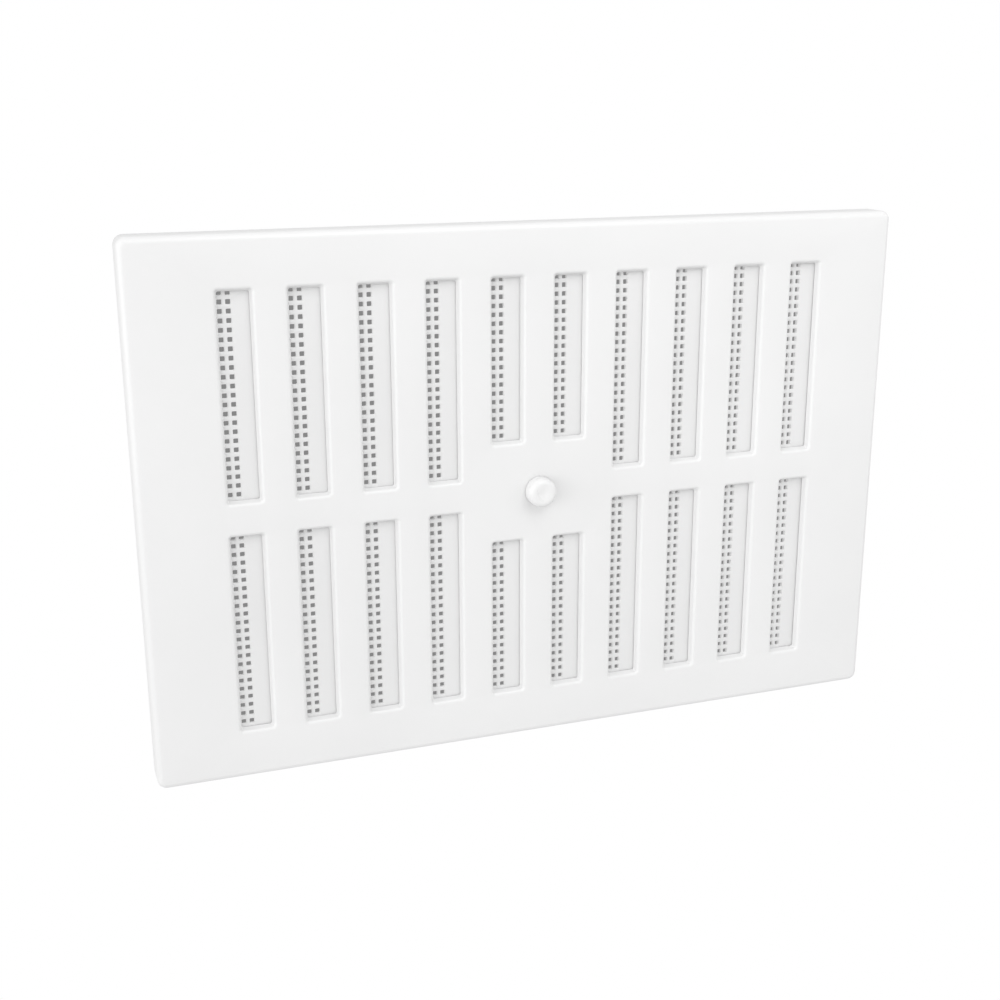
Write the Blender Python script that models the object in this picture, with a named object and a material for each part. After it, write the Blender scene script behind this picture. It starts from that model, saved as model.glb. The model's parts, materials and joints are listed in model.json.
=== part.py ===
"""Hit and miss ventilator for a wall.

A shallow moulded face plate has two rows of upright slots. A mesh shutter slides from side to side behind
it, and a round knob in the middle of the plate turns a crank whose peg carries the shutter along.
X is to the right and Z up, seen from the room. Y runs into the wall. The origin is the middle of the whole.
"""

import math

import bmesh
import bpy
from mathutils import Matrix

# Clearance that every piece keeps to its neighbour, and how near two points count as one
CLEARANCE = 0.0003
WELD = 0.000001

# Overall size of the face plate
PLATE_WIDTH = 0.245
PLATE_HEIGHT = 0.165
PLATE_DEPTH = 0.010

# Slots of the face plate, inside plain borders
COLUMNS = 10
SIDE_BORDER = 0.025875
TOP_BORDER = 0.01555
SLOT_WIDTH = 0.0101
SLOT_CORNER = 0.0006
SLOT_FILLET = 0.0011
CENTRE_BAND = 0.0101
KNOB_PANEL = 0.0316
SHORT_COLUMNS = 2

# Walls and edges of the face plate
FACE_THICKNESS = 0.002
SKIRT_THICKNESS = 0.002
RIM_RADIUS = 0.002
PLATE_CORNER = 0.003

# Shutter
SHUTTER_THICKNESS = 0.0018
SHUTTER_END_LAP = 0.0033
SHUTTER_EDGE_LAP = 0.00305
SHUTTER_CORNER = 0.002
BAR_OVERLAP = 0.000375
WINDOW_MARGIN = 0.0003
WINDOW_CORNER = 0.0005
MESH_THICKNESS = 0.0009
MESH_STRAND = 0.0009
GAP_COLUMNS = 2
GAP_ROWS = 3

# Snap hooks and end stops on the back of the face plate
HOOKS_PER_EDGE = 3
HOOK_SPACING = 0.070
HOOK_WIDTH = 0.012
HOOK_THICKNESS = 0.0016
HOOK_OVERLAP = 0.0015
HOOK_LIP = 0.0009
HOOK_LEAD = 0.0014
STOP_THICKNESS = 0.002
STOP_HEIGHT = 0.012
STOP_SPACING = 0.080
STOP_PAST_SHUTTER = 0.0008
ROOT = 0.001

# Knob
KNOB_DIAMETER = 0.0092
KNOB_HEIGHT = 0.0042
KNOB_EDGE_RADIUS = 0.0017
KNOB_DISH = 0.0007
STEM_DIAMETER = 0.006
STEM_FLAT = 0.0023

# Crank and its screw
CRANK_THICKNESS = 0.002
HUB_WALL = 0.0022
ARM_END_RADIUS = 0.0027
PEG_DIAMETER = 0.003
PEG_RUNNING_GAP = 0.00045
YOKE_WEB = 0.0017
SCREW_DIAMETER = 0.0022
SCREW_LENGTH = 0.0075
SCREW_HEAD_DIAMETER = 0.0076
SCREW_HEAD_HEIGHT = 0.0016
SCREW_RECESS_WIDTH = 0.0008
SCREW_RECESS_LENGTH = 0.0034
SCREW_RECESS_DEPTH = 0.0009

# A corner or edge radius is held to this share of the half size or height that it rounds
LARGEST_ROUNDING = 0.9

# Fineness of curves
EDGE_STEPS = 4
FILLET_STEPS = 3
PLATE_CORNER_STEPS = 4
CORNER_STEPS = 2
KNOB_STEPS = 8
ROUND_POINTS = 32
SMOOTH_ANGLE = math.radians(30)

# Slot field, inside the borders
PLATE_HALF_WIDTH = PLATE_WIDTH / 2
PLATE_HALF_HEIGHT = PLATE_HEIGHT / 2
FIELD_HALF_WIDTH = PLATE_HALF_WIDTH - SIDE_BORDER
SLOT_TOP = PLATE_HALF_HEIGHT - TOP_BORDER
SLOT_PITCH = (2 * FIELD_HALF_WIDTH - SLOT_WIDTH) / (COLUMNS - 1)

# Travel of the shutter to each side, from half open. Closed, each bar overlaps its slot on both sides
TRAVEL = SLOT_PITCH / 4
WINDOW_WIDTH = SLOT_PITCH - SLOT_WIDTH - 2 * BAR_OVERLAP

# Shutter size and the space it slides in
SHUTTER_HALF_WIDTH = FIELD_HALF_WIDTH + TRAVEL + SHUTTER_END_LAP
SHUTTER_HALF_HEIGHT = SLOT_TOP + SHUTTER_EDGE_LAP
STOP_X = SHUTTER_HALF_WIDTH + TRAVEL + CLEARANCE
HOOK_Z = SHUTTER_HALF_HEIGHT + CLEARANCE

# Depths behind the front face
SHUTTER_FRONT = FACE_THICKNESS + CLEARANCE
SHUTTER_BACK = SHUTTER_FRONT + SHUTTER_THICKNESS
CRANK_FRONT = SHUTTER_BACK + CLEARANCE
CRANK_BACK = CRANK_FRONT + CRANK_THICKNESS
SCREW_SEAT = CRANK_BACK + CLEARANCE
STEM_END = CRANK_BACK - CLEARANCE / 2

# The crank radius leaves a web between the stem's slot and the peg's slot, with the peg at its lowest
STEM_RADIUS = STEM_DIAMETER / 2
PEG_RADIUS = PEG_DIAMETER / 2
BORE_RADIUS = STEM_RADIUS + CLEARANCE
PEG_LOWEST = BORE_RADIUS + YOKE_WEB + CLEARANCE + PEG_RADIUS
CRANK_RADIUS = math.hypot(PEG_LOWEST, TRAVEL)

# The front face lies this far in front of the middle of the total depth
KNOB_FRONT = CLEARANCE + KNOB_HEIGHT
FRONT_Y = (KNOB_FRONT - PLATE_DEPTH) / 2


def at_depth(depth):
    """World Y of a level, from its depth behind the front face."""
    return FRONT_Y + depth


def material(name, colour, roughness, metallic=0.0):
    made = bpy.data.materials.new(name)
    made.use_nodes = True
    shader = made.node_tree.nodes["Principled BSDF"]
    shader.inputs["Base Color"].default_value = (*colour, 1.0)
    shader.inputs["Roughness"].default_value = roughness
    shader.inputs["Metallic"].default_value = metallic
    return made


def arc(centre_x, centre_z, radius, start, end, steps):
    """Points along an arc in the plane of the face, with angles in degrees from +X towards +Z."""
    points = []
    for step in range(steps + 1):
        angle = math.radians(start + (end - start) * step / steps)
        points.append((centre_x + radius * math.cos(angle), centre_z + radius * math.sin(angle)))
    return points


def rounded_rectangle(centre_x, centre_z, half_width, half_height, radius, steps=CORNER_STEPS):
    """Outline with rounded corners, anticlockwise seen from the room."""
    radius = min(radius, LARGEST_ROUNDING * half_width, LARGEST_ROUNDING * half_height)
    points = []
    for side_x, side_z, start in ((1, 1, 0), (-1, 1, 90), (-1, -1, 180), (1, -1, 270)):
        corner_x = centre_x + side_x * (half_width - radius)
        corner_z = centre_z + side_z * (half_height - radius)
        points += arc(corner_x, corner_z, radius, start, start + 90, steps)
    return points


def circle(centre_x, centre_z, radius):
    return arc(centre_x, centre_z, radius, 0, 360, ROUND_POINTS)[:-1]


def flatted_circle(radius, flat):
    """Circle about the stem's axis, cut off by a flat on its +X side."""
    open_angle = math.degrees(math.acos(min(flat / radius, LARGEST_ROUNDING)))
    return arc(0, 0, radius, open_angle, 360 - open_angle, ROUND_POINTS)


def add_ring(mesh, outline, depth):
    return [mesh.verts.new((x, at_depth(depth), z)) for x, z in outline]


def loft(mesh, rings):
    """Walls from each ring to the next."""
    for near, far in zip(rings, rings[1:]):
        for start in range(len(near)):
            end = (start + 1) % len(near)
            mesh.faces.new((near[start], near[end], far[end], far[start]))


def fill(mesh, rings):
    """One flat face inside the first ring, with the other rings as its holes."""
    edges = []
    for ring in rings:
        for start in range(len(ring)):
            edges.append(mesh.edges.get((ring[start], ring[(start + 1) % len(ring)])))
    bmesh.ops.triangle_fill(mesh, use_beauty=True, use_dissolve=False, edges=edges, normal=(0, 1, 0))


def make_object(name, mesh, its_material):
    """Object from a finished mesh, with its faces turned outward."""
    bmesh.ops.recalc_face_normals(mesh, faces=mesh.faces)
    data = bpy.data.meshes.new(name)
    mesh.to_mesh(data)
    mesh.free()
    data.shade_smooth()
    data.set_sharp_from_angle(angle=SMOOTH_ANGLE)
    data.materials.append(its_material)
    made = bpy.data.objects.new(name, data)
    bpy.context.scene.collection.objects.link(made)
    return made


def make_tool(name, mesh):
    """Body that another one is joined with or cut by."""
    bmesh.ops.recalc_face_normals(mesh, faces=mesh.faces)
    data = bpy.data.meshes.new(name)
    mesh.to_mesh(data)
    mesh.free()
    made = bpy.data.objects.new(name, data)
    made.hide_render = True
    made.display_type = "WIRE"
    bpy.context.scene.collection.objects.link(made)
    return made


def combine(target, tool, operation):
    modifier = target.modifiers.new(tool.name, "BOOLEAN")
    modifier.operation = operation
    modifier.solver = "EXACT"
    modifier.object = tool


def add_box(mesh, low, high):
    """Block between two corners, each given as x, depth and z."""
    size = [high[axis] - low[axis] for axis in range(3)]
    centre = [(high[axis] + low[axis]) / 2 for axis in range(3)]
    place = Matrix.Translation((centre[0], at_depth(centre[1]), centre[2]))
    scale = Matrix.Diagonal((*size, 1))
    bmesh.ops.create_cube(mesh, size=1, matrix=place @ scale)


def add_extrusion(mesh, profile, left, right):
    """Profile of depth and z, drawn out along X."""
    near = [mesh.verts.new((left, at_depth(depth), z)) for depth, z in profile]
    far = [mesh.verts.new((right, at_depth(depth), z)) for depth, z in profile]
    loft(mesh, [near, far])
    mesh.faces.new(near)
    mesh.faces.new(far)


def add_turning(mesh, profile):
    """Body turned about the stem's axis. Its profile of radius and depth starts and ends on the axis."""
    points = [mesh.verts.new((radius, at_depth(depth), 0)) for radius, depth in profile]
    edges = [mesh.edges.new(pair) for pair in zip(points, points[1:])]
    bmesh.ops.spin(
        mesh,
        geom=points + edges,
        cent=(0, 0, 0),
        axis=(0, 1, 0),
        angle=math.tau,
        steps=ROUND_POINTS,
        use_merge=True,
    )
    bmesh.ops.remove_doubles(mesh, verts=mesh.verts, dist=WELD)


def slot_fields():
    """Centre x, centre z and half height of each slot, and its column's place in the row."""
    for column in range(COLUMNS):
        centre_x = (column - (COLUMNS - 1) / 2) * SLOT_PITCH
        from_middle = abs(column - (COLUMNS - 1) / 2)
        is_short = from_middle < SHORT_COLUMNS / 2
        inner = KNOB_PANEL / 2 if is_short else CENTRE_BAND / 2
        for side in (1, -1):
            yield centre_x, side * (SLOT_TOP + inner) / 2, (SLOT_TOP - inner) / 2


def edge_rings(steps, radius):
    """Inset and depth of each ring round an edge that is rounded from the face to the side."""
    for step in range(steps + 1):
        angle = math.pi / 2 * step / steps
        yield radius * (1 - math.sin(angle)), radius * (1 - math.cos(angle))


def plate_outline(inset):
    return rounded_rectangle(
        0,
        0,
        PLATE_HALF_WIDTH - inset,
        PLATE_HALF_HEIGHT - inset,
        max(PLATE_CORNER - inset, SLOT_CORNER),
        PLATE_CORNER_STEPS,
    )


def hook_profile(side):
    """Hook across the shutter's long edge: a wall, and a lip behind the shutter with a sloping lead-in."""
    inner = HOOK_Z
    outer = HOOK_Z + HOOK_THICKNESS
    tip = HOOK_Z - HOOK_OVERLAP
    lip = SHUTTER_BACK + CLEARANCE
    profile = [
        (FACE_THICKNESS - ROOT, inner),
        (lip, inner),
        (lip, tip),
        (lip + HOOK_LIP, tip),
        (lip + HOOK_LIP + HOOK_LEAD, inner),
        (lip + HOOK_LIP + HOOK_LEAD, outer),
        (FACE_THICKNESS - ROOT, outer),
    ]
    return [(depth, side * z) for depth, z in profile]


def make_face_plate(its_material):
    mesh = bmesh.new()
    insets = edge_rings(EDGE_STEPS, RIM_RADIUS)
    outside = [add_ring(mesh, plate_outline(inset), depth) for inset, depth in insets]
    rear_rim = add_ring(mesh, plate_outline(0), PLATE_DEPTH)
    inner_rim = add_ring(mesh, plate_outline(SKIRT_THICKNESS), PLATE_DEPTH)
    recess = add_ring(mesh, plate_outline(SKIRT_THICKNESS), FACE_THICKNESS)
    loft(mesh, [*outside, rear_rim, inner_rim, recess])

    front = [outside[0]]
    back = [recess]
    for centre_x, centre_z, half_height in slot_fields():
        wall = []
        for spread, depth in edge_rings(FILLET_STEPS, SLOT_FILLET):
            # The slot narrows from the face inward, so the first ring is the widest
            grown = rounded_rectangle(
                centre_x,
                centre_z,
                SLOT_WIDTH / 2 + spread,
                half_height + spread,
                SLOT_CORNER + spread,
            )
            wall.append(add_ring(mesh, grown, depth))
        clear = rounded_rectangle(centre_x, centre_z, SLOT_WIDTH / 2, half_height, SLOT_CORNER)
        wall.append(add_ring(mesh, clear, FACE_THICKNESS))
        loft(mesh, wall)
        front.append(wall[0])
        back.append(wall[-1])

    bore = [add_ring(mesh, circle(0, 0, BORE_RADIUS), depth) for depth in (0, FACE_THICKNESS)]
    loft(mesh, bore)
    fill(mesh, [*front, bore[0]])
    fill(mesh, [*back, bore[1]])
    plate = make_object("face_plate", mesh, its_material)

    rear = bmesh.new()
    for index in range(HOOKS_PER_EDGE):
        middle = (index - (HOOKS_PER_EDGE - 1) / 2) * HOOK_SPACING
        for side in (1, -1):
            add_extrusion(rear, hook_profile(side), middle - HOOK_WIDTH / 2, middle + HOOK_WIDTH / 2)
    stop_back = SHUTTER_BACK + STOP_PAST_SHUTTER
    for side in (1, -1):
        low_x, high_x = sorted((side * STOP_X, side * (STOP_X + STOP_THICKNESS)))
        for row in (1, -1):
            middle = row * STOP_SPACING / 2
            low = (low_x, FACE_THICKNESS - ROOT, middle - STOP_HEIGHT / 2)
            high = (high_x, stop_back, middle + STOP_HEIGHT / 2)
            add_box(rear, low, high)
    combine(plate, make_tool("hooks_and_stops", rear), "UNION")
    return plate


def rectangle(centre_x, centre_z, half_width, half_height):
    sides = ((1, -1), (1, 1), (-1, 1), (-1, -1))
    return [(centre_x + side_x * half_width, centre_z + side_z * half_height) for side_x, side_z in sides]


def mesh_gaps(centre_x, centre_z, half_height):
    """Outline of each open gap between the strands in one window of the shutter."""
    step_x = (WINDOW_WIDTH - MESH_STRAND) / GAP_COLUMNS
    step_z = (2 * half_height - MESH_STRAND) / GAP_ROWS
    for row in range(GAP_ROWS):
        gap_z = centre_z + (row - (GAP_ROWS - 1) / 2) * step_z
        for column in range(GAP_COLUMNS):
            gap_x = centre_x + (column - (GAP_COLUMNS - 1) / 2) * step_x
            yield rectangle(gap_x, gap_z, (step_x - MESH_STRAND) / 2, (step_z - MESH_STRAND) / 2)


def peg_slot():
    """Upright slot that the peg rises and falls in while it swings."""
    low = PEG_LOWEST - PEG_RADIUS - CLEARANCE
    high = CRANK_RADIUS + PEG_RADIUS + CLEARANCE
    half_width = PEG_RADIUS + PEG_RUNNING_GAP
    return rounded_rectangle(0, (low + high) / 2, half_width, (high - low) / 2, half_width, 2 * CORNER_STEPS)


def stem_slot():
    """Level slot that lets the shutter pass to and fro over the stem."""
    half_width = BORE_RADIUS + TRAVEL
    return rounded_rectangle(0, 0, half_width, BORE_RADIUS, BORE_RADIUS, 2 * CORNER_STEPS)


def make_shutter(its_material):
    mesh = bmesh.new()
    levels = (SHUTTER_FRONT, SHUTTER_BACK)
    floor = SHUTTER_FRONT + MESH_THICKNESS
    outline = rounded_rectangle(0, 0, SHUTTER_HALF_WIDTH, SHUTTER_HALF_HEIGHT, SHUTTER_CORNER)
    through = [outline, stem_slot(), peg_slot()]
    front = []
    back = []
    for shape in through:
        wall = [add_ring(mesh, shape, depth) for depth in levels]
        loft(mesh, wall)
        front.append(wall[0])
        back.append(wall[1])

    # Each window is a pocket sunk from behind, and its thin front wall is the mesh
    for centre_x, centre_z, slot_half_height in slot_fields():
        window_x = centre_x - TRAVEL
        half_height = slot_half_height + WINDOW_MARGIN
        shape = rounded_rectangle(window_x, centre_z, WINDOW_WIDTH / 2, half_height, WINDOW_CORNER)
        pocket = [add_ring(mesh, shape, depth) for depth in (floor, SHUTTER_BACK)]
        loft(mesh, pocket)
        back.append(pocket[1])
        behind = [pocket[0]]
        for gap in mesh_gaps(window_x, centre_z, half_height):
            wall = [add_ring(mesh, gap, depth) for depth in (SHUTTER_FRONT, floor)]
            loft(mesh, wall)
            front.append(wall[0])
            behind.append(wall[1])
        fill(mesh, behind)
    fill(mesh, front)
    fill(mesh, back)
    return make_object("shutter", mesh, its_material)


def make_knob(its_material):
    """Round button with a rounded rim and a dished middle, on a stem with a flat for the crank."""
    radius = KNOB_DIAMETER / 2
    edge = min(KNOB_EDGE_RADIUS, LARGEST_ROUNDING * KNOB_HEIGHT, LARGEST_ROUNDING * radius)
    crest_radius = radius - edge
    pilot_radius = SCREW_DIAMETER / 2 + CLEARANCE
    pilot_end = SCREW_SEAT - SCREW_LENGTH - CLEARANCE
    profile = []
    for step in range(KNOB_STEPS):
        share = step / KNOB_STEPS
        sunk = KNOB_DISH * (1 + math.cos(math.pi * share)) / 2
        profile.append((crest_radius * share, sunk - KNOB_FRONT))
    for step in range(KNOB_STEPS + 1):
        angle = math.pi / 2 * step / KNOB_STEPS
        profile.append((crest_radius + edge * math.sin(angle), edge * (1 - math.cos(angle)) - KNOB_FRONT))
    profile += [
        (radius, -CLEARANCE),
        (STEM_RADIUS, -CLEARANCE),
        (STEM_RADIUS, STEM_END),
        (pilot_radius, STEM_END),
        (pilot_radius, pilot_end),
        (0, pilot_end),
    ]
    mesh = bmesh.new()
    add_turning(mesh, profile)
    knob = make_object("knob", mesh, its_material)

    cutter = bmesh.new()
    low = (STEM_FLAT, CRANK_FRONT - CLEARANCE / 2, -STEM_DIAMETER)
    high = (STEM_DIAMETER, STEM_END + STEM_DIAMETER, STEM_DIAMETER)
    add_box(cutter, low, high)
    combine(knob, make_tool("stem_flat_cutter", cutter), "DIFFERENCE")
    return knob


def crank_outline(hub_radius):
    """Round hub and round arm end, joined by the two straight lines that touch both."""
    lean = math.degrees(math.acos((hub_radius - ARM_END_RADIUS) / CRANK_RADIUS))
    hub = arc(0, 0, hub_radius, 90 + lean, 450 - lean, ROUND_POINTS // 2)
    end = arc(0, CRANK_RADIUS, ARM_END_RADIUS, 90 - lean, 90 + lean, ROUND_POINTS // 2)
    return hub + end


def make_crank(its_material):
    """Arm on the stem's flatted end, with a peg forward into the shutter's upright slot."""
    hub_radius = BORE_RADIUS + HUB_WALL
    bore = flatted_circle(BORE_RADIUS, STEM_FLAT + CLEARANCE)
    mesh = bmesh.new()
    levels = (CRANK_FRONT, CRANK_BACK)
    outside = [add_ring(mesh, crank_outline(hub_radius), depth) for depth in levels]
    inside = [add_ring(mesh, bore, depth) for depth in levels]
    loft(mesh, outside)
    loft(mesh, inside)
    peg_outline = circle(0, CRANK_RADIUS, PEG_RADIUS)
    peg = [add_ring(mesh, peg_outline, depth) for depth in (CRANK_FRONT, SHUTTER_FRONT)]
    loft(mesh, peg)
    fill(mesh, peg[1:])
    fill(mesh, [outside[0], inside[0], peg[0]])
    fill(mesh, [outside[1], inside[1]])
    return make_object("crank", mesh, its_material)


def make_crank_screw(its_material):
    """Pan-head screw that holds the crank on the stem, with a cross recess in its head."""
    head_radius = SCREW_HEAD_DIAMETER / 2
    head_back = SCREW_SEAT + SCREW_HEAD_HEIGHT
    edge = SCREW_HEAD_HEIGHT / 2
    profile = [(0, SCREW_SEAT - SCREW_LENGTH), (SCREW_DIAMETER / 4, SCREW_SEAT - SCREW_LENGTH)]
    profile += [
        (SCREW_DIAMETER / 2, SCREW_SEAT - SCREW_LENGTH + SCREW_DIAMETER / 2),
        (SCREW_DIAMETER / 2, SCREW_SEAT),
        (head_radius, SCREW_SEAT),
    ]
    for step in range(EDGE_STEPS + 1):
        angle = math.pi / 2 * step / EDGE_STEPS
        profile.append((head_radius - edge * (1 - math.cos(angle)), head_back - edge * (1 - math.sin(angle))))
    profile.append((0, head_back))
    mesh = bmesh.new()
    add_turning(mesh, profile)
    screw = make_object("crank_screw", mesh, its_material)

    recess = bmesh.new()
    low_depth = head_back - SCREW_RECESS_DEPTH
    half_length = SCREW_RECESS_LENGTH / 2
    half_width = SCREW_RECESS_WIDTH / 2
    arm = ((half_width, -half_width), (half_length, -half_width), (half_length, half_width))
    cross = []
    for quarter in range(4):
        turn = math.radians(90 * quarter)
        for along, across in arm:
            x = along * math.cos(turn) - across * math.sin(turn)
            z = along * math.sin(turn) + across * math.cos(turn)
            cross.append((x, z))
    walls = [add_ring(recess, cross, depth) for depth in (low_depth, head_back + SCREW_HEAD_HEIGHT)]
    loft(recess, walls)
    fill(recess, walls[:1])
    fill(recess, walls[1:])
    combine(screw, make_tool("cross_recess_cutter", recess), "DIFFERENCE")
    return screw


def main():
    for old in list(bpy.data.objects):
        bpy.data.objects.remove(old, do_unlink=True)
    make_face_plate(material("face_plate_plastic", (0.90, 0.90, 0.89), 0.35))
    make_shutter(material("shutter_plastic", (0.87, 0.87, 0.86), 0.40))
    make_knob(material("knob_plastic", (0.90, 0.90, 0.89), 0.30))
    make_crank(material("crank_plastic", (0.82, 0.82, 0.81), 0.45))
    make_crank_screw(material("screw_steel", (0.62, 0.62, 0.64), 0.35, 1.0))


main()
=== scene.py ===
"""Looks of the hit and miss vent: satin white mouldings, fly mesh, crank, screw, studio and camera."""

import json
import math

import bmesh
import bpy
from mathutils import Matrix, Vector


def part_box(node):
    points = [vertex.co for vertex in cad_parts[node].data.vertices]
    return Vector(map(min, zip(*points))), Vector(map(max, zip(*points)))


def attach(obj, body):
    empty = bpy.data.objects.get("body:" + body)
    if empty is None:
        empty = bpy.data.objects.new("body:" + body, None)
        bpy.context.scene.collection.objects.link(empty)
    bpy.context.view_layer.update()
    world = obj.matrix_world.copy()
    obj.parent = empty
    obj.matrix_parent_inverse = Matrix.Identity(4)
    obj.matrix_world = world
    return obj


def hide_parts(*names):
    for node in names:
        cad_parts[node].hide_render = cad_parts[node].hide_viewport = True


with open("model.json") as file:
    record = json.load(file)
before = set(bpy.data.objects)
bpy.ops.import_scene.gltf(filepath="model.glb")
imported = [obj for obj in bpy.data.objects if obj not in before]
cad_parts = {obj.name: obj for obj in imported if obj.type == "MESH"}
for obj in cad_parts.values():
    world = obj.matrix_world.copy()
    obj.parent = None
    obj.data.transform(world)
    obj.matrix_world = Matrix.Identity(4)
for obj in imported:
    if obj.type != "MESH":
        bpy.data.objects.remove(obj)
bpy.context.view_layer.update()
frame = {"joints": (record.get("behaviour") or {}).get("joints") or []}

# Extents and levels read from the frame, in metres
PLATE_LOW, PLATE_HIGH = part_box("face_plate")
SHUTTER_LOW, SHUTTER_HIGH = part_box("shutter")
KNOB_LOW, KNOB_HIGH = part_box("knob")
CRANK_LOW, CRANK_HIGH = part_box("crank")
SCREW_LOW, SCREW_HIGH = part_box("crank_screw")
TRAVEL = next(joint["range_m"][1] for joint in frame["joints"] if joint["name"] == "shutter_slide")
CLEARANCE = 0.0003

# Slots of the face plate
COLUMNS = 10
SHORT_COLUMNS = 2
SLOT_PITCH = 4 * TRAVEL
SLOT_WIDTH = 0.0101
TOP_BORDER = 0.01555
SLOT_TOP = PLATE_HIGH[2] - TOP_BORDER
SLOT_CORNER = 0.0006
SLOT_FILLET = 0.0011
SLOT_DRAFT = 0.00045
CENTRE_BAND = 0.0101
KNOB_PANEL = 0.0316

# Walls and edges of the face plate
FRONT_Y = PLATE_LOW[1]
WALL_Y = PLATE_HIGH[1]
FACE_THICKNESS = 0.002
FACE_BACK_Y = FRONT_Y + FACE_THICKNESS
SKIRT_THICKNESS = 0.002
RIM_RADIUS = 0.002
PLATE_CORNER = 0.003
REAR_EDGE_RADIUS = 0.0004

# Hooks and stops behind the face plate
HOOKS_PER_EDGE = 3
HOOK_SPACING = 0.070
HOOK_WIDTH = 0.012
HOOK_THICKNESS = 0.0016
HOOK_OVERLAP = 0.0015
HOOK_LIP = 0.0009
HOOK_LEAD = 0.0014
STOP_THICKNESS = 0.002
STOP_HEIGHT = 0.012
STOP_SPACING = 0.080
STOP_PAST_SHUTTER = 0.0008
ROOT = 0.001
MOULDED_EDGE = 0.0002

# Shutter and its fly mesh
SHUTTER_CORNER = 0.002
SHUTTER_EDGE = 0.0003
BAR_OVERLAP = 0.000375
WINDOW_WIDTH = SLOT_PITCH - SLOT_WIDTH - 2 * BAR_OVERLAP
WINDOW_MARGIN = 0.0003
YOKE_WEB = 0.0017
PEG_RUNNING_GAP = 0.00045
MESH_THICKNESS = 0.0009
MESH_COLUMNS = 4
LONG_ROWS = 23
SHORT_ROWS = 19
COLUMN_PITCH = 0.0025
ROW_PITCH = 0.00268
FIRST_ROW_DROP = 0.0008
MESH_HOLE = 0.00145
STRAND_ROUNDING = 0.0001
HOLE_CORNER = 0.00018

# Knob
STEM_RADIUS = 0.003
STEM_FLAT = 0.0023
BORE_RADIUS = STEM_RADIUS + CLEARANCE
KNOB_EDGE_RADIUS = 0.0017
KNOB_DISH = 0.00035

# Crank
CRANK_THICKNESS = 0.002
CRANK_FRONT_Y = CRANK_HIGH[1] - CRANK_THICKNESS
HUB_WALL = 0.0022
HUB_RADIUS = BORE_RADIUS + HUB_WALL
ARM_END_RADIUS = 0.0027
CRANK_RADIUS = CRANK_HIGH[2] - ARM_END_RADIUS
CRANK_EDGE = 0.0003
PEG_RADIUS = 0.0015

# Screw
SCREW_RADIUS = 0.0011
SCREW_CORE_RADIUS = 0.00085
SCREW_TIP_SHARE = 0.3
SCREW_THREAD_PITCH = 0.0008
SCREW_HEAD_HEIGHT = 0.0016
SCREW_SEAT_Y = SCREW_HIGH[1] - SCREW_HEAD_HEIGHT
SCREW_RECESS_DEPTH = 0.0009
SCREW_RECESS_HALF_WIDTH = 0.0004
SCREW_RECESS_HALF_LENGTH = 0.0017
SCREW_RECESS_TAPER = 0.75
PILOT_RADIUS = SCREW_RADIUS + CLEARANCE

# Plastics: colour, roughness and strength of the mould's grain
FACE_PLASTIC = ((0.76, 0.76, 0.76), 0.36, 0.12)
SHUTTER_PLASTIC = ((0.74, 0.74, 0.74), 0.42, 0.15)
KNOB_PLASTIC = ((0.76, 0.76, 0.76), 0.30, 0.08)
CRANK_PLASTIC = ((0.66, 0.66, 0.64), 0.48, 0.2)

# Unevenness of the plastics: noise scales per metre, depths in metres
FLOW_SCALE = 22
PATCH_SCALE = 150
GRAIN_SCALE = 2600
FLOW_SHADE = 0.975
ROUGHNESS_SPREAD = 0.04
WAVE_STRENGTH = 0.25
WAVE_DEPTH = 0.0003
GRAIN_DEPTH = 0.00003

# Zinc plating: noise scales per metre, depth in metres
ZINC_DARK = (0.52, 0.53, 0.55)
ZINC_LIGHT = (0.68, 0.68, 0.69)
ZINC_ROUGHNESS = (0.22, 0.38)
CLOUD_SCALE = 700
TURNING_SCALE = 9000
TURNING_STRENGTH = 0.3
TURNING_DEPTH = 0.00002

# Values that noise mostly lies between
NOISE_LOW = 0.3
NOISE_HIGH = 0.7

# Camera, fitted to the plate in the photograph
CAMERA_PLACE = (-0.1509, -0.39113, 0.11877)
CAMERA_ANGLES = (73.684, 0.156, -19.602)
LENS = 49.76
SENSOR = 36.0

# Studio
DUCT_WIDTH = 0.229
DUCT_HEIGHT = 0.152
DUCT_SHADE_DEPTH = 0.03
DUCT_SHADE_MARGIN = 0.02
WALL_HALF_WIDTH = 3.0
WALL_TOP = 3.0
FLOOR_Z = -0.45
FLOOR_DEPTH = 4.0
WORLD_STRENGTH = 0.8
WALL_TONE = 1.0
# Glow of the grey sheet behind the vent: painted shade of the dark duct, seen through the mesh
DUCT_SHADE_TONE = 0.24
FLOOR_COLOUR = (0.85, 0.85, 0.85)
FLOOR_ROUGHNESS = 0.9

# Square lights aimed at the vent's middle: name, place, side and power in watts
LIGHTS = (
    ("left", (-4.0, -1.2, 0.5), 2.4, 55),
    ("front_left", (-2.8, -2.8, 0.6), 2.0, 18),
    ("above", (0.1, -0.42, 0.53), 0.4, 1.35),
    ("right", (0.75, -0.5, 0.3), 0.4, 0.8),
)

# Fineness of curves
EDGE_STEPS = 8
SMALL_EDGE_STEPS = 3
BEVEL_STEPS = 2
CORNER_STEPS = 6
ROUND_POINTS = 96
SMOOTH_ANGLE = math.radians(50)


def arc(centre_x, centre_z, radius, start, end, steps):
    """Points along an arc in the plane of the face, with angles in degrees from +X towards +Z."""
    points = []
    for step in range(steps + 1):
        angle = math.radians(start + (end - start) * step / steps)
        points.append((centre_x + radius * math.cos(angle), centre_z + radius * math.sin(angle)))
    return points


def rounded_rectangle(centre_x, centre_z, half_width, half_height, radius, steps=CORNER_STEPS):
    points = []
    for side_x, side_z, start in ((1, 1, 0), (-1, 1, 90), (-1, -1, 180), (1, -1, 270)):
        corner_x = centre_x + side_x * (half_width - radius)
        corner_z = centre_z + side_z * (half_height - radius)
        points += arc(corner_x, corner_z, radius, start, start + 90, steps)
    return points


def circle(centre_x, centre_z, radius):
    return arc(centre_x, centre_z, radius, 0, 360, ROUND_POINTS)[:-1]


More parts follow.
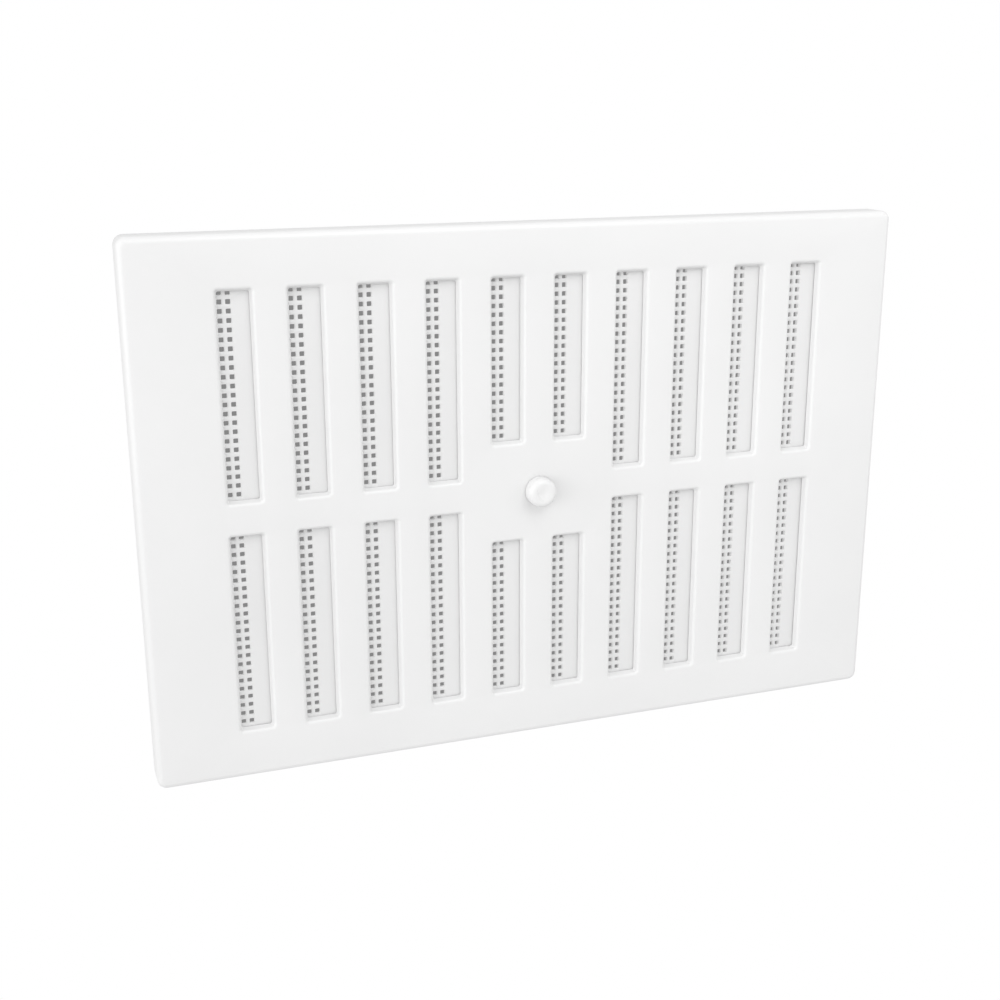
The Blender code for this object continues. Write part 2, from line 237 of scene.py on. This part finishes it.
def flatted_circle(radius, flat):
    """Circle about the knob's axis, cut off by a flat on its +X side, with as many points as a circle."""
    return [(min(x, flat), z) for x, z in circle(0, 0, radius)]


def edge_rings(radius, steps=EDGE_STEPS):
    """Inset and depth of each ring round an edge that is rounded from the face to the side."""
    for step in range(steps + 1):
        angle = math.pi / 2 * step / steps
        yield radius * (1 - math.sin(angle)), radius * (1 - math.cos(angle))


def add_ring(mesh, outline, y):
    return [mesh.verts.new((x, y, z)) for x, z in outline]


def loft(mesh, rings):
    for near, far in zip(rings, rings[1:]):
        for start in range(len(near)):
            end = (start + 1) % len(near)
            mesh.faces.new((near[start], near[end], far[end], far[start]))


def fill(mesh, rings):
    """One flat face inside the first ring, with the other rings as its holes."""
    edges = []
    for ring in rings:
        for start in range(len(ring)):
            edges.append(mesh.edges.get((ring[start], ring[(start + 1) % len(ring)])))
    bmesh.ops.triangle_fill(mesh, use_beauty=True, use_dissolve=False, edges=edges, normal=(0, 1, 0))


def turned_rings(mesh, profile):
    """Walls turned about the knob's axis, from pairs of radius and y."""
    rings = [add_ring(mesh, circle(0, 0, radius), y) for radius, y in profile]
    loft(mesh, rings)
    return rings


def add_bevelled_extrusion(mesh, profile, left, right):
    """Profile of y and z drawn out along X, with its edges slightly rounded."""
    near = [mesh.verts.new((left, y, z)) for y, z in profile]
    far = [mesh.verts.new((right, y, z)) for y, z in profile]
    before = set(mesh.edges)
    loft(mesh, [near, far])
    mesh.faces.new(near)
    mesh.faces.new(far)
    edges = [edge for edge in mesh.edges if edge not in before]
    bmesh.ops.bevel(
        mesh, geom=edges, offset=MOULDED_EDGE, segments=BEVEL_STEPS, profile=0.5, affect="EDGES"
    )


def finish_piece(name, mesh, its_material, body, node):
    bmesh.ops.recalc_face_normals(mesh, faces=mesh.faces)
    data = bpy.data.meshes.new(name)
    mesh.to_mesh(data)
    mesh.free()
    data.shade_smooth()
    data.set_sharp_from_angle(angle=SMOOTH_ANGLE)
    data.materials.append(its_material)
    piece = bpy.data.objects.new(name, data)
    bpy.context.scene.collection.objects.link(piece)
    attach(piece, body)
    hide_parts(node)


def slot_fields():
    """Centre x, centre z, half height and mesh rows of each slot."""
    for column in range(COLUMNS):
        from_middle = column - (COLUMNS - 1) / 2
        is_short = abs(from_middle) < SHORT_COLUMNS / 2
        inner = KNOB_PANEL / 2 if is_short else CENTRE_BAND / 2
        rows = SHORT_ROWS if is_short else LONG_ROWS
        for side in (1, -1):
            yield from_middle * SLOT_PITCH, side * (SLOT_TOP + inner) / 2, (SLOT_TOP - inner) / 2, rows


def plate_outline(inset):
    radius = max(PLATE_CORNER - inset, SLOT_CORNER)
    return rounded_rectangle(0, 0, PLATE_HIGH[0] - inset, PLATE_HIGH[2] - inset, radius)


def hook_profile(side):
    """Hook across the shutter's long edge: a wall, and a lip behind the shutter with a sloping lead-in."""
    inner = SHUTTER_HIGH[2] + CLEARANCE
    outer = inner + HOOK_THICKNESS
    tip = inner - HOOK_OVERLAP
    lip = SHUTTER_HIGH[1] + CLEARANCE
    profile = [
        (FACE_BACK_Y - ROOT, inner),
        (lip, inner),
        (lip, tip),
        (lip + HOOK_LIP, tip),
        (lip + HOOK_LIP + HOOK_LEAD, inner),
        (lip + HOOK_LIP + HOOK_LEAD, outer),
        (FACE_BACK_Y - ROOT, outer),
    ]
    return [(y, side * z) for y, z in profile]


def add_hooks_and_stops(mesh):
    for index in range(HOOKS_PER_EDGE):
        middle = (index - (HOOKS_PER_EDGE - 1) / 2) * HOOK_SPACING
        for side in (1, -1):
            add_bevelled_extrusion(mesh, hook_profile(side), middle - HOOK_WIDTH / 2, middle + HOOK_WIDTH / 2)
    stop_x = SHUTTER_HIGH[0] + TRAVEL + CLEARANCE
    stop_y = SHUTTER_HIGH[1] + STOP_PAST_SHUTTER
    front_y = FACE_BACK_Y - ROOT
    for row in (1, -1):
        low_z = row * STOP_SPACING / 2 - STOP_HEIGHT / 2
        high_z = low_z + STOP_HEIGHT
        profile = [(front_y, low_z), (stop_y, low_z), (stop_y, high_z), (front_y, high_z)]
        for side in (1, -1):
            left, right = sorted((side * stop_x, side * (stop_x + STOP_THICKNESS)))
            add_bevelled_extrusion(mesh, profile, left, right)


def make_face_plate(its_material):
    """Face, rounded rim and skirt as one shell, with the filleted slots and the stem's bore."""
    mesh = bmesh.new()
    shell = [add_ring(mesh, plate_outline(inset), FRONT_Y + depth) for inset, depth in edge_rings(RIM_RADIUS)]
    rear = list(edge_rings(REAR_EDGE_RADIUS, SMALL_EDGE_STEPS))
    shell += [add_ring(mesh, plate_outline(inset), WALL_Y - depth) for inset, depth in reversed(rear)]
    inner = SKIRT_THICKNESS
    shell += [add_ring(mesh, plate_outline(inner - inset), WALL_Y - depth) for inset, depth in rear]
    shell.append(add_ring(mesh, plate_outline(inner), FACE_BACK_Y))
    loft(mesh, shell)
    front = [shell[0]]
    back = [shell[-1]]
    for centre_x, centre_z, half_height, _ in slot_fields():
        wall = []
        for spread, depth in edge_rings(SLOT_FILLET):
            half_width = SLOT_WIDTH / 2 + spread
            corner = SLOT_CORNER + spread
            outline = rounded_rectangle(centre_x, centre_z, half_width, half_height + spread, corner)
            wall.append(add_ring(mesh, outline, FRONT_Y + depth))
        half_width = SLOT_WIDTH / 2 - SLOT_DRAFT
        outline = rounded_rectangle(centre_x, centre_z, half_width, half_height - SLOT_DRAFT, SLOT_CORNER)
        wall.append(add_ring(mesh, outline, FACE_BACK_Y))
        loft(mesh, wall)
        front.append(wall[0])
        back.append(wall[-1])
    bore = turned_rings(mesh, [(BORE_RADIUS, FRONT_Y), (BORE_RADIUS, FACE_BACK_Y)])
    fill(mesh, [*front, bore[0]])
    fill(mesh, [*back, bore[1]])
    add_hooks_and_stops(mesh)
    finish_piece("plate_moulding", mesh, its_material, "housing", "face_plate")


def cell_lines(low, holes, high):
    """Bounds of the cells round a row of holes: the window's two edges, and midway between holes."""
    return [low, *((near + far) / 2 for near, far in zip(holes, holes[1:])), high]


def add_mesh_side(mesh, window, holes_x, holes_z, face_y, throat_y):
    """One side of a window's mesh, with a hole in each cell. Gives its outer loop and the holes' throats.

    Each hole's outline has two points at a corner, eight in all, from the upper right corner on.
    """
    low_x, high_x, low_z, high_z = window
    lines_x = cell_lines(low_x, holes_x, high_x)
    grid = [[mesh.verts.new((x, face_y, z)) for x in lines_x] for z in cell_lines(low_z, holes_z, high_z)]
    rows = len(holes_z)
    throats = []
    half = MESH_HOLE / 2
    wide = half + STRAND_ROUNDING
    for row, z in enumerate(holes_z):
        for column, x in enumerate(holes_x):
            rim = add_ring(mesh, rounded_rectangle(x, z, wide, wide, HOLE_CORNER, 1), face_y)
            throats.append(add_ring(mesh, rounded_rectangle(x, z, half, half, HOLE_CORNER, 1), throat_y))
            loft(mesh, [rim, throats[-1]])
            above = grid[row + 1]
            below = grid[row]
            corners = [above[column + 1], above[column], below[column], below[column + 1]]
            for side, corner in enumerate(corners):
                next_corner = corners[(side + 1) % 4]
                last = rim[2 * side + 1]
                following = rim[(2 * side + 2) % 8]
                mesh.faces.new((corner, rim[2 * side], last))
                mesh.faces.new((corner, last, following, next_corner))
    outer = [grid[0][column] for column in range(MESH_COLUMNS)]
    outer += [grid[row][MESH_COLUMNS] for row in range(rows)]
    outer += [grid[rows][column] for column in range(MESH_COLUMNS, 0, -1)]
    outer += [grid[row][0] for row in range(rows, 0, -1)]
    return outer, throats


def shutter_outline(inset):
    return rounded_rectangle(0, 0, SHUTTER_HIGH[0] - inset, SHUTTER_HIGH[2] - inset, SHUTTER_CORNER - inset)


def peg_slot():
    """Upright slot with round ends, which the crank's peg moves in."""
    half_width = PEG_RADIUS + PEG_RUNNING_GAP
    low = BORE_RADIUS + YOKE_WEB + half_width
    high = CRANK_RADIUS + PEG_RADIUS + CLEARANCE - half_width
    return arc(0, high, half_width, 0, 180, EDGE_STEPS) + arc(0, low, half_width, 180, 360, EDGE_STEPS)


def stem_slot():
    """Level slot with round ends, which lets the shutter pass to and fro over the stem."""
    right = arc(TRAVEL, 0, BORE_RADIUS, -90, 90, EDGE_STEPS)
    return right + arc(-TRAVEL, 0, BORE_RADIUS, 90, 270, EDGE_STEPS)


def make_shutter(its_material):
    """Sliding plate with a pocket behind each window, whose thin front wall is the fly mesh."""
    mesh = bmesh.new()
    front_y = SHUTTER_LOW[1]
    back_y = SHUTTER_HIGH[1]
    floor_y = front_y + MESH_THICKNESS
    edge = list(edge_rings(SHUTTER_EDGE, SMALL_EDGE_STEPS))
    sides = [add_ring(mesh, shutter_outline(inset), front_y + depth) for inset, depth in edge]
    sides += [add_ring(mesh, shutter_outline(inset), back_y - depth) for inset, depth in reversed(edge)]
    loft(mesh, sides)
    front = [sides[0]]
    back = [sides[-1]]
    for outline in (stem_slot(), peg_slot()):
        wall = [add_ring(mesh, outline, y) for y in (front_y, back_y)]
        loft(mesh, wall)
        front.append(wall[0])
        back.append(wall[1])
    columns = [(column - (MESH_COLUMNS - 1) / 2) * COLUMN_PITCH for column in range(MESH_COLUMNS)]
    for centre_x, centre_z, slot_half_height, rows in slot_fields():
        half_height = slot_half_height + WINDOW_MARGIN
        middle_x = centre_x - TRAVEL
        sides_x = (middle_x - WINDOW_WIDTH / 2, middle_x + WINDOW_WIDTH / 2)
        window = (*sides_x, centre_z - half_height, centre_z + half_height)
        holes_x = [middle_x + from_middle for from_middle in columns]
        top_z = centre_z + slot_half_height - FIRST_ROW_DROP
        holes_z = [top_z - row * ROW_PITCH for row in reversed(range(rows))]
        holes = (window, holes_x, holes_z)
        near, near_throats = add_mesh_side(mesh, *holes, front_y, front_y + STRAND_ROUNDING)
        far, far_throats = add_mesh_side(mesh, *holes, floor_y, floor_y - STRAND_ROUNDING)
        for pair in zip(near_throats, far_throats):
            loft(mesh, pair)
        pocket = [mesh.verts.new((vert.co.x, back_y, vert.co.z)) for vert in far]
        loft(mesh, [far, pocket])
        front.append(near)
        back.append(pocket)
    fill(mesh, front)
    fill(mesh, back)
    finish_piece("shutter_moulding", mesh, its_material, "shutter", "shutter")


def make_knob(its_material):
    """Button with a rounded rim and a dished middle, on a stem with a flat and a pilot hole for the screw."""
    radius = KNOB_HIGH[0]
    tip_y = KNOB_LOW[1]
    stem_end_y = KNOB_HIGH[1]
    crest_radius = radius - KNOB_EDGE_RADIUS
    profile = []
    for step in range(1, EDGE_STEPS + 1):
        share = step / (EDGE_STEPS + 1)
        profile.append((crest_radius * share, tip_y + KNOB_DISH * (1 + math.cos(math.pi * share)) / 2))
    for step in range(EDGE_STEPS + 1):
        angle = math.pi / 2 * step / EDGE_STEPS
        out = KNOB_EDGE_RADIUS * math.sin(angle)
        profile.append((crest_radius + out, tip_y + KNOB_EDGE_RADIUS * (1 - math.cos(angle))))
    back_y = FRONT_Y - CLEARANCE
    profile += [(radius, back_y), (STEM_RADIUS, back_y), (STEM_RADIUS, CRANK_FRONT_Y - CLEARANCE / 2)]
    mesh = bmesh.new()
    button = turned_rings(mesh, profile)
    fill(mesh, button[:1])
    flat = [add_ring(mesh, flatted_circle(STEM_RADIUS, STEM_FLAT), y) for y in (profile[-1][1], stem_end_y)]
    loft(mesh, [button[-1], *flat])
    pilot = turned_rings(mesh, [(PILOT_RADIUS, stem_end_y), (PILOT_RADIUS, SCREW_LOW[1] - CLEARANCE)])
    fill(mesh, [flat[-1], pilot[0]])
    fill(mesh, pilot[1:])
    finish_piece("knob_button", mesh, its_material, "control", "knob")


def crank_outline(inset):
    """Round hub and round arm end, joined by the two straight lines that touch both."""
    lean = math.degrees(math.acos((HUB_RADIUS - ARM_END_RADIUS) / CRANK_RADIUS))
    hub = arc(0, 0, HUB_RADIUS - inset, 90 + lean, 450 - lean, ROUND_POINTS // 2)
    end = arc(0, CRANK_RADIUS, ARM_END_RADIUS - inset, 90 - lean, 90 + lean, ROUND_POINTS // 2)
    return hub + end


def make_crank(its_material):
    """Arm on the stem's flatted end, with a peg forward into the shutter's upright slot."""
    mesh = bmesh.new()
    back_y = CRANK_HIGH[1]
    edge = list(edge_rings(CRANK_EDGE, SMALL_EDGE_STEPS))
    sides = [add_ring(mesh, crank_outline(inset), CRANK_FRONT_Y + depth) for inset, depth in edge]
    sides += [add_ring(mesh, crank_outline(inset), back_y - depth) for inset, depth in reversed(edge)]
    loft(mesh, sides)
    bore_outline = flatted_circle(BORE_RADIUS, STEM_FLAT + CLEARANCE)
    bore = [add_ring(mesh, bore_outline, y) for y in (CRANK_FRONT_Y, back_y)]
    loft(mesh, bore)
    peg = [add_ring(mesh, circle(0, CRANK_RADIUS, PEG_RADIUS), CRANK_FRONT_Y)]
    for inset, depth in reversed(edge):
        peg.append(add_ring(mesh, circle(0, CRANK_RADIUS, PEG_RADIUS - inset), CRANK_LOW[1] + depth))
    loft(mesh, peg)
    fill(mesh, peg[-1:])
    fill(mesh, [sides[0], bore[0], peg[0]])
    fill(mesh, [sides[-1], bore[1]])
    finish_piece("crank_arm", mesh, its_material, "control", "crank")


def cross_outline(half_width, half_length):
    arm = ((half_width, -half_width), (half_length, -half_width), (half_length, half_width))
    points = []
    for quarter in range(4):
        turn = math.radians(90 * quarter)
        for along, across in arm:
            x = along * math.cos(turn) - across * math.sin(turn)
            z = along * math.sin(turn) + across * math.cos(turn)
            points.append((x, z))
    return points


def make_screw(its_material):
    """Pan-head screw with a tapered cross recess and a coarse thread for plastic."""
    head_radius = SCREW_HIGH[0]
    top_y = SCREW_HIGH[1]
    tip_y = SCREW_LOW[1]
    mesh = bmesh.new()
    tip = [(SCREW_CORE_RADIUS * share, tip_y + SCREW_RADIUS * share) for share in (SCREW_TIP_SHARE, 1)]
    turns = int((SCREW_SEAT_Y - tip_y - SCREW_RADIUS) / SCREW_THREAD_PITCH)
    thread = []
    for turn in range(turns):
        start_y = tip_y + SCREW_RADIUS + turn * SCREW_THREAD_PITCH
        crest_y = start_y + SCREW_THREAD_PITCH / 2
        thread += [(SCREW_CORE_RADIUS, start_y + SCREW_THREAD_PITCH / 8), (SCREW_RADIUS, crest_y)]
    head = [(SCREW_RADIUS, SCREW_SEAT_Y), (head_radius, SCREW_SEAT_Y)]
    rounding = SCREW_HEAD_HEIGHT / 2
    for inset, depth in reversed(list(edge_rings(rounding))):
        head.append((head_radius - inset, top_y - depth))
    rings = turned_rings(mesh, tip + thread + head)
    fill(mesh, rings[:1])
    cross = add_ring(mesh, cross_outline(SCREW_RECESS_HALF_WIDTH, SCREW_RECESS_HALF_LENGTH), top_y)
    floor_half_width = SCREW_RECESS_HALF_WIDTH * SCREW_RECESS_TAPER
    floor_half_length = SCREW_RECESS_HALF_LENGTH * SCREW_RECESS_TAPER
    floor = add_ring(mesh, cross_outline(floor_half_width, floor_half_length), top_y - SCREW_RECESS_DEPTH)
    loft(mesh, [cross, floor])
    fill(mesh, [rings[-1], cross])
    fill(mesh, [floor])
    finish_piece("screw_pan_head", mesh, its_material, "control", "crank_screw")


def add_noise(tree, coordinates, scale, detail):
    node = tree.nodes.new("ShaderNodeTexNoise")
    node.inputs["Scale"].default_value = scale
    node.inputs["Detail"].default_value = detail
    tree.links.new(coordinates, node.inputs["Vector"])
    return node.outputs["Fac"]


def add_range(tree, value, low, high):
    """Noise spread from low to high."""
    node = tree.nodes.new("ShaderNodeMapRange")
    node.inputs["From Min"].default_value = NOISE_LOW
    node.inputs["From Max"].default_value = NOISE_HIGH
    node.inputs["To Min"].default_value = low
    node.inputs["To Max"].default_value = high
    tree.links.new(value, node.inputs["Value"])
    return node.outputs["Result"]


def add_bump(tree, height, strength, distance, under=None):
    node = tree.nodes.new("ShaderNodeBump")
    node.inputs["Strength"].default_value = strength
    node.inputs["Distance"].default_value = distance
    tree.links.new(height, node.inputs["Height"])
    if under:
        tree.links.new(under, node.inputs["Normal"])
    return node.outputs["Normal"]


def tint(tree, value, dark, light):
    ramp = tree.nodes.new("ShaderNodeValToRGB")
    ramp.color_ramp.elements[0].position = NOISE_LOW
    ramp.color_ramp.elements[0].color = (*dark, 1)
    ramp.color_ramp.elements[1].position = NOISE_HIGH
    ramp.color_ramp.elements[1].color = (*light, 1)
    tree.links.new(value, ramp.inputs["Fac"])
    return ramp.outputs["Color"]


def new_material(name):
    made = bpy.data.materials.new(name)
    made.use_nodes = True
    tree = made.node_tree
    coordinates = tree.nodes.new("ShaderNodeTexCoord").outputs["Object"]
    return made, tree, tree.nodes["Principled BSDF"], coordinates


def moulded_plastic(name, colour, roughness, grain):
    """Injection-moulded plastic: faint flow shade, uneven satin, slow waviness and the mould's grain."""
    made, tree, shader, coordinates = new_material(name)
    flow = add_noise(tree, coordinates, FLOW_SCALE, detail=3)
    patches = add_noise(tree, coordinates, PATCH_SCALE, detail=4)
    fine = add_noise(tree, coordinates, GRAIN_SCALE, detail=2)
    dark = [channel * FLOW_SHADE for channel in colour]
    tree.links.new(tint(tree, flow, dark, colour), shader.inputs["Base Color"])
    uneven = add_range(tree, patches, roughness - ROUGHNESS_SPREAD, roughness + ROUGHNESS_SPREAD)
    tree.links.new(uneven, shader.inputs["Roughness"])
    waves = add_bump(tree, flow, WAVE_STRENGTH, WAVE_DEPTH)
    tree.links.new(add_bump(tree, fine, grain, GRAIN_DEPTH, waves), shader.inputs["Normal"])
    return made


def plated_steel(name):
    """Zinc-plated steel: rings left by turning, and a faint uneven shade."""
    made, tree, shader, coordinates = new_material(name)
    shader.inputs["Metallic"].default_value = 1
    flat = tree.nodes.new("ShaderNodeVectorMath")
    flat.operation = "MULTIPLY"
    flat.inputs[1].default_value = (1, 0, 1)
    tree.links.new(coordinates, flat.inputs[0])
    radius = tree.nodes.new("ShaderNodeVectorMath")
    radius.operation = "LENGTH"
    tree.links.new(flat.outputs["Vector"], radius.inputs[0])
    rings = tree.nodes.new("ShaderNodeTexNoise")
    rings.noise_dimensions = "1D"
    rings.inputs["Scale"].default_value = TURNING_SCALE
    tree.links.new(radius.outputs["Value"], rings.inputs["W"])
    turning = rings.outputs["Fac"]
    cloud = add_noise(tree, coordinates, CLOUD_SCALE, detail=4)
    tree.links.new(tint(tree, cloud, ZINC_DARK, ZINC_LIGHT), shader.inputs["Base Color"])
    tree.links.new(add_range(tree, turning, *ZINC_ROUGHNESS), shader.inputs["Roughness"])
    tree.links.new(add_bump(tree, turning, TURNING_STRENGTH, TURNING_DEPTH), shader.inputs["Normal"])
    return made


def one_sided(tree, surface):
    """Shows the surface from its front only, so that the vent's back can be seen from behind the wall."""
    clear = tree.nodes.new("ShaderNodeBsdfTransparent")
    mix = tree.nodes.new("ShaderNodeMixShader")
    side = tree.nodes.new("ShaderNodeNewGeometry")
    tree.links.new(side.outputs["Backfacing"], mix.inputs["Fac"])
    tree.links.new(surface, mix.inputs[1])
    tree.links.new(clear.outputs["BSDF"], mix.inputs[2])
    tree.links.new(mix.outputs["Shader"], tree.nodes["Material Output"].inputs["Surface"])


def lit_paint(name, tone):
    """Evenly glowing grey or white, without shadows: the white backdrop, and the grey sheet with the duct's
    shade painted on.
    """
    made, tree, shader, _ = new_material(name)
    shader.inputs["Base Color"].default_value = (0, 0, 0, 1)
    shader.inputs["Specular IOR Level"].default_value = 0
    shader.inputs["Emission Color"].default_value = (1, 1, 1, 1)
    shader.inputs["Emission Strength"].default_value = tone
    one_sided(tree, shader.outputs["BSDF"])
    return made


def matt_paint(name, colour, roughness):
    made, tree, shader, _ = new_material(name)
    shader.inputs["Base Color"].default_value = (*colour, 1)
    shader.inputs["Roughness"].default_value = roughness
    one_sided(tree, shader.outputs["BSDF"])
    return made


def add_stage(name, points, faces, its_material, sheds_light):
    """Stage piece. One that sheds no light is only seen, and neither lights nor shades the vent."""
    data = bpy.data.meshes.new(name)
    data.from_pydata(points, [], faces)
    data.materials.append(its_material)
    made = bpy.data.objects.new(name, data)
    bpy.context.scene.collection.objects.link(made)
    made.visible_diffuse = sheds_light
    made.visible_glossy = sheds_light
    made.visible_shadow = sheds_light


def make_studio():
    """White wall with the opening that the vent covers, a grey sheet behind it with the duct's shade painted
    on, and a pale floor.
    """
    wall_y = WALL_Y + CLEARANCE
    wall_points = [
        (-WALL_HALF_WIDTH, wall_y, FLOOR_Z),
        (WALL_HALF_WIDTH, wall_y, FLOOR_Z),
        (WALL_HALF_WIDTH, wall_y, WALL_TOP),
        (-WALL_HALF_WIDTH, wall_y, WALL_TOP),
    ]
    corners = [(-1, -1), (1, -1), (1, 1), (-1, 1)]
    wall_points += [(x * DUCT_WIDTH / 2, wall_y, z * DUCT_HEIGHT / 2) for x, z in corners]
    ring = [(side, (side + 1) % 4, (side + 1) % 4 + 4, side + 4) for side in range(4)]
    add_stage("studio_wall", wall_points, ring, lit_paint("wall_paint", WALL_TONE), False)
    # Glowing grey sheet behind the opening: the duct's shade is painted on it and seen through the mesh holes
    shade_x = DUCT_WIDTH / 2 + DUCT_SHADE_MARGIN
    shade_z = DUCT_HEIGHT / 2 + DUCT_SHADE_MARGIN
    shade_points = [(x * shade_x, WALL_Y + DUCT_SHADE_DEPTH, z * shade_z) for x, z in corners]
    add_stage("duct_shade", shade_points, [(0, 1, 2, 3)], lit_paint("painted_duct_shade", DUCT_SHADE_TONE), False)
    floor_points = [
        (-WALL_HALF_WIDTH, -FLOOR_DEPTH, FLOOR_Z),
        (WALL_HALF_WIDTH, -FLOOR_DEPTH, FLOOR_Z),
        (WALL_HALF_WIDTH, wall_y, FLOOR_Z),
        (-WALL_HALF_WIDTH, wall_y, FLOOR_Z),
    ]
    floor_paint = matt_paint("floor_paint", FLOOR_COLOUR, FLOOR_ROUGHNESS)
    add_stage("floor", floor_points, [(0, 1, 2, 3)], floor_paint, True)


def make_camera():
    data = bpy.data.cameras.new("camera")
    data.lens = LENS
    data.sensor_width = SENSOR
    data.clip_start = 0.01
    camera = bpy.data.objects.new("camera", data)
    camera.location = CAMERA_PLACE
    camera.rotation_euler = [math.radians(angle) for angle in CAMERA_ANGLES]
    bpy.context.scene.collection.objects.link(camera)
    bpy.context.scene.camera = camera


def make_sky_light():
    world = bpy.data.worlds.new("studio")
    world.use_nodes = True
    background = world.node_tree.nodes["Background"]
    background.inputs["Color"].default_value = (1, 1, 1, 1)
    background.inputs["Strength"].default_value = WORLD_STRENGTH
    bpy.context.scene.world = world


def make_lights():
    for name, place, side, power in LIGHTS:
        data = bpy.data.lights.new(name, "AREA")
        data.shape = "SQUARE"
        data.size = side
        data.energy = power
        light = bpy.data.objects.new(name, data)
        light.location = place
        aim = -Vector(place)
        light.rotation_euler = aim.to_track_quat("-Z", "Y").to_euler()
        light.visible_camera = False
        bpy.context.scene.collection.objects.link(light)


def main():
    make_face_plate(moulded_plastic("face_plate_plastic", *FACE_PLASTIC))
    make_shutter(moulded_plastic("shutter_plastic", *SHUTTER_PLASTIC))
    make_knob(moulded_plastic("knob_plastic", *KNOB_PLASTIC))
    make_crank(moulded_plastic("crank_plastic", *CRANK_PLASTIC))
    make_screw(plated_steel("zinc_plated_steel"))
    make_studio()
    make_sky_light()
    make_lights()
    make_camera()
    bpy.context.scene.view_settings.view_transform = "Standard"


main()
